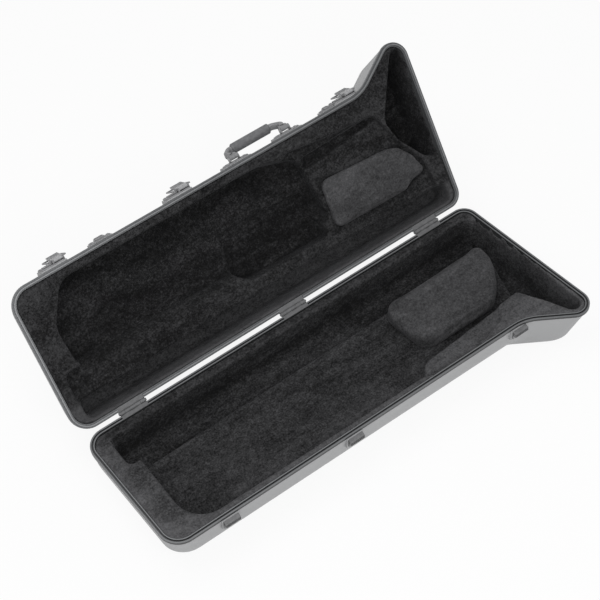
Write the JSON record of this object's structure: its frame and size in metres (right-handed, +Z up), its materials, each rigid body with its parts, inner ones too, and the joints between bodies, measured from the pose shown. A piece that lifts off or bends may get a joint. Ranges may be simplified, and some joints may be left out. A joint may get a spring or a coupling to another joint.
{
  "type": "trombone case",
  "caption": "Hard moulded case for a trombone, lying open: hinged halves with plush-lined recesses, draw latches and a carrying handle.",
  "frame": {"origin": "on the flat underside of the base, below the middle of the straight body", "axes": "+X runs along the hinge side towards the flared end, +Y points to the back over the hinges, +Z is up"},
  "size_m": [0.9363, 0.6478, 0.3567],
  "materials": {
    "shell_plastic": "moulded, fine grain",
    "rim_aluminium": "satin",
    "plush": "short pile",
    "rubber_feet": "matt",
    "hinge_paint": "satin paint",
    "steel": "plated",
    "grip_plastic": "fine grain",
    "fitting_plastic": "satin"
  },
  "bodies": {
    "base": {"base_shell": "shell_plastic", "base_rim": "rim_aluminium", "base_liner": "plush", "base_block": "plush", "base_rivets": "steel", "base_feet": "rubber_feet", "base_foot_screws": "steel", "hinge_leaf_base_1": "hinge_paint", "hinge_leaf_base_2": "hinge_paint", "hinge_leaf_base_3": "hinge_paint", "hinge_pin_1": "steel", "hinge_pin_2": "steel", "hinge_pin_3": "steel", "keeper_1": "fitting_plastic", "keeper_2": "fitting_plastic", "keeper_3": "fitting_plastic"},
    "lid": {"lid_shell": "shell_plastic", "lid_rim": "rim_aluminium", "lid_liner": "plush", "lid_pad": "plush", "lid_rivets": "steel", "lid_feet": "rubber_feet", "lid_foot_screws": "steel", "hinge_leaf_lid_1": "hinge_paint", "hinge_leaf_lid_2": "hinge_paint", "hinge_leaf_lid_3": "hinge_paint", "latch_plate_1": "fitting_plastic", "latch_plate_2": "fitting_plastic", "latch_plate_3": "fitting_plastic", "latch_pin_1": "steel", "latch_pin_2": "steel", "latch_pin_3": "steel", "handle_bracket_1": "fitting_plastic", "handle_bracket_2": "fitting_plastic", "handle_pin_1": "steel", "handle_pin_2": "steel", "small_plate_1": "fitting_plastic", "small_plate_2": "fitting_plastic"},
    "handle": {"handle_bow": "fitting_plastic", "handle_grip": "grip_plastic"},
    "lever_1": {"latch_lever_1": "fitting_plastic"},
    "bail_1": {"latch_bail_1": "steel"},
    "lever_2": {"latch_lever_2": "fitting_plastic"},
    "bail_2": {"latch_bail_2": "steel"},
    "lever_3": {"latch_lever_3": "fitting_plastic"},
    "bail_3": {"latch_bail_3": "steel"}
  },
  "joints": [
    {"name": "lid_hinge", "type": "hinge", "parent": "base", "child": "lid", "pos_m": [0, 0.14985, 0.115], "axis": [1, 0, 0], "range_deg": [0, 136.4]},
    {"name": "handle_swing", "type": "hinge", "parent": "lid", "child": "handle", "pos_m": [0.133, 0.38658, 0.31006], "axis": [1, 0, 0], "range_deg": [0, 130]},
    {"name": "lever_1_pivot", "type": "hinge", "parent": "lid", "child": "lever_1", "pos_m": [-0.32, 0.37791, 0.31699], "axis": [-1, 0, 0], "range_deg": [-100, 0]},
    {"name": "bail_1_swing", "type": "hinge", "parent": "lever_1", "child": "bail_1", "pos_m": [-0.32, 0.3843, 0.31202], "axis": [1, 0, 0], "range_deg": [0, 180]},
    {"name": "lever_2_pivot", "type": "hinge", "parent": "lid", "child": "lever_2", "pos_m": [-0.046, 0.37791, 0.31699], "axis": [-1, 0, 0], "range_deg": [-100, 0]},
    {"name": "bail_2_swing", "type": "hinge", "parent": "lever_2", "child": "bail_2", "pos_m": [-0.046, 0.3843, 0.31202], "axis": [1, 0, 0], "range_deg": [0, 180]},
    {"name": "lever_3_pivot", "type": "hinge", "parent": "lid", "child": "lever_3", "pos_m": [0.342, 0.37791, 0.31699], "axis": [-1, 0, 0], "range_deg": [-100, 0]},
    {"name": "bail_3_swing", "type": "hinge", "parent": "lever_3", "child": "bail_3", "pos_m": [0.342, 0.3843, 0.31202], "axis": [1, 0, 0], "range_deg": [0, 180]}
  ]
}
